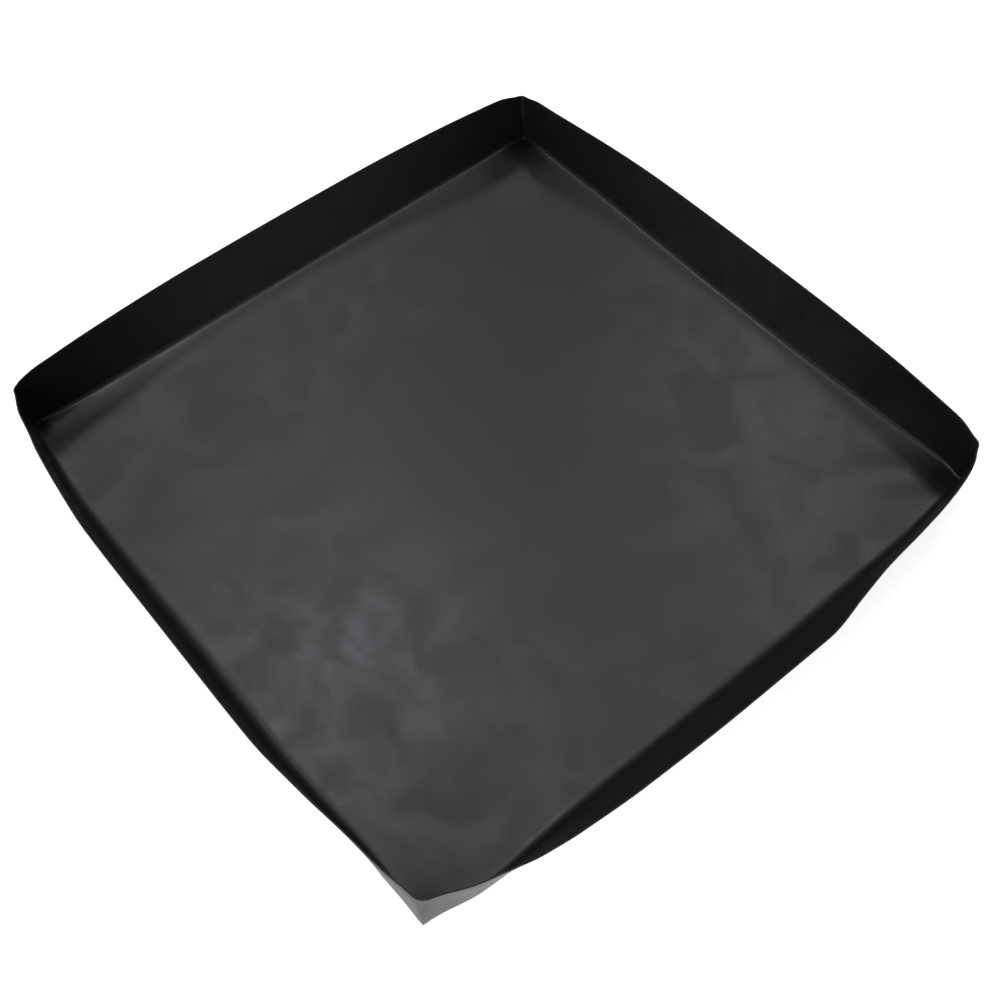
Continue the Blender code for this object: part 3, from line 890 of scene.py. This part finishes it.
# The camera, from the middle of the floor: its direction, roll, distance and shift
CAMERA_AZIMUTH = math.radians(53.579)
CAMERA_ELEVATION = math.radians(56.047)
CAMERA_ROLL = math.radians(-3.664)
CAMERA_DISTANCE = 1.9671 * 2 * FOLD_HALF
CAMERA_RIGHT = 0.0247 * 2 * FOLD_HALF
CAMERA_UP = -0.0711 * 2 * FOLD_HALF
CAMERA_LENS = 46.8

STAGE_HALF = 20.0
STAGE_BASE = 0.92
STAGE_EMISSION = 0.68
WORLD_STRENGTH = 0.17
OVERHEAD_HEIGHT = 1.8
PANEL_HEIGHT = 1.7
SOFT_TINT = (1, 0.915, 1)


def camera():
    a, e, r = CAMERA_AZIMUTH, CAMERA_ELEVATION, CAMERA_ROLL
    back = Vector((math.sin(a) * math.cos(e), -math.cos(a) * math.cos(e), math.sin(e)))
    level = Vector((math.cos(a), math.sin(a), 0))
    upright = back.cross(level)
    right = level * math.cos(r) + upright * math.sin(r)
    up = -level * math.sin(r) + upright * math.cos(r)
    place = back * CAMERA_DISTANCE + right * CAMERA_RIGHT + up * CAMERA_UP + Vector((0, 0, FLOOR_TOP))
    data = bpy.data.cameras.new("camera")
    data.lens = CAMERA_LENS
    data.sensor_width = 36
    obj = bpy.data.objects.new("camera", data)
    bpy.context.scene.collection.objects.link(obj)
    axes = Matrix((right, up, back)).transposed()
    obj.matrix_world = Matrix.Translation(place) @ axes.to_4x4()
    bpy.context.scene.camera = obj


def panel_light(name, place, size, radiance, target=None, colour=SOFT_TINT):
    """A light panel of that size and radiance, facing the target, or straight down."""
    data = bpy.data.lights.new(name, "AREA")
    data.shape = "RECTANGLE"
    data.size, data.size_y = size
    data.energy = radiance * math.pi * data.size * data.size_y
    data.color = colour
    obj = bpy.data.objects.new(name, data)
    bpy.context.scene.collection.objects.link(obj)
    obj.location = place
    if target is not None:
        obj.rotation_euler = (Vector(target) - Vector(place)).to_track_quat("-Z", "Y").to_euler()


def stage():
    made, _, shader = principled("stage_floor", (STAGE_BASE, STAGE_BASE, STAGE_BASE), 0.9)
    shader.inputs["Specular IOR Level"].default_value = 0.1
    shader.inputs["Emission Color"].default_value = (1, 1, 1, 1)
    shader.inputs["Emission Strength"].default_value = STAGE_EMISSION
    points = [(x * STAGE_HALF, y * STAGE_HALF, 0) for x, y in ((-1, -1), (1, -1), (1, 1), (-1, 1))]
    mesh_object("stage_floor", points, [[0, 1, 2, 3]], made, body=None)


def lights():
    """Soft panels under a dim sky, which looks as pale as the far floor so that no horizon shows."""
    world = bpy.context.scene.world or bpy.data.worlds.new("world")
    bpy.context.scene.world = world
    world.use_nodes = True
    tree = world.node_tree
    tree.nodes["Background"].inputs["Color"].default_value = (1, 1, 1, 1)
    seen = add(tree, "LightPath", {}).outputs["Is Camera Ray"]
    far_floor = STAGE_EMISSION + STAGE_BASE * WORLD_STRENGTH
    strength = add(tree, "MapRange", {"Value": seen, "To Min": WORLD_STRENGTH, "To Max": far_floor})
    tree.links.new(strength.outputs[0], tree.nodes["Background"].inputs["Strength"])
    panel_light("overhead", (0.4, -0.3, OVERHEAD_HEIGHT), (3.0, 3.0), 0.1)
    panel_light("window", (-0.71, 0.1, PANEL_HEIGHT), (0.37, 0.39), 12.5, colour=(0.9, 0.91, 1))
    panel_light("strip_middle", (-0.22, 0.8, PANEL_HEIGHT), (0.36, 1.0), 2.3)
    panel_light("strip_left", (-1.66, 0.4, PANEL_HEIGHT), (0.36, 1.5), 4.0)
    panel_light("strip_back", (-0.56, 1.33, PANEL_HEIGHT), (1.25, 0.3), 5.1)
    panel_light("fill", (1.1, -2.3, 1.3), (1.6, 1.6), 5.5, target=(0, 0, 0), colour=(1, 0.95, 1))


def main():
    black_sheet = black_sheet_material()
    moulded = moulded_material("moulded_black", worn=False)
    moulded_edge = moulded_material("moulded_black_edge", worn=True)
    points, normals, strips = tray_sheet(black_sheet)
    corner_laps(points, normals, strips, black_sheet)
    underside(base_sheet_material(), edge_seal_material())
    lead_block(moulded, moulded_edge)
    steel = steel_material()
    for number in (1, 2):
        cover_screw(number, steel)
    gland(moulded, moulded_edge, rubber_material())
    finish_packed(
        {
            foam_material(): ["insulation_foam"],
            carrier_film_material(): ["film_lower", "film_upper"],
            carbon_print_material(): ["carbon_print"],
            copper_material(): [
                "front_busbar",
                "back_busbar",
                "front_lead_strip",
                "back_lead_strip",
                "crimp_1",
                "crimp_2",
            ],
        }
    )
    camera()
    stage()
    lights()
    bpy.context.scene.view_settings.view_transform = "Standard"


main()
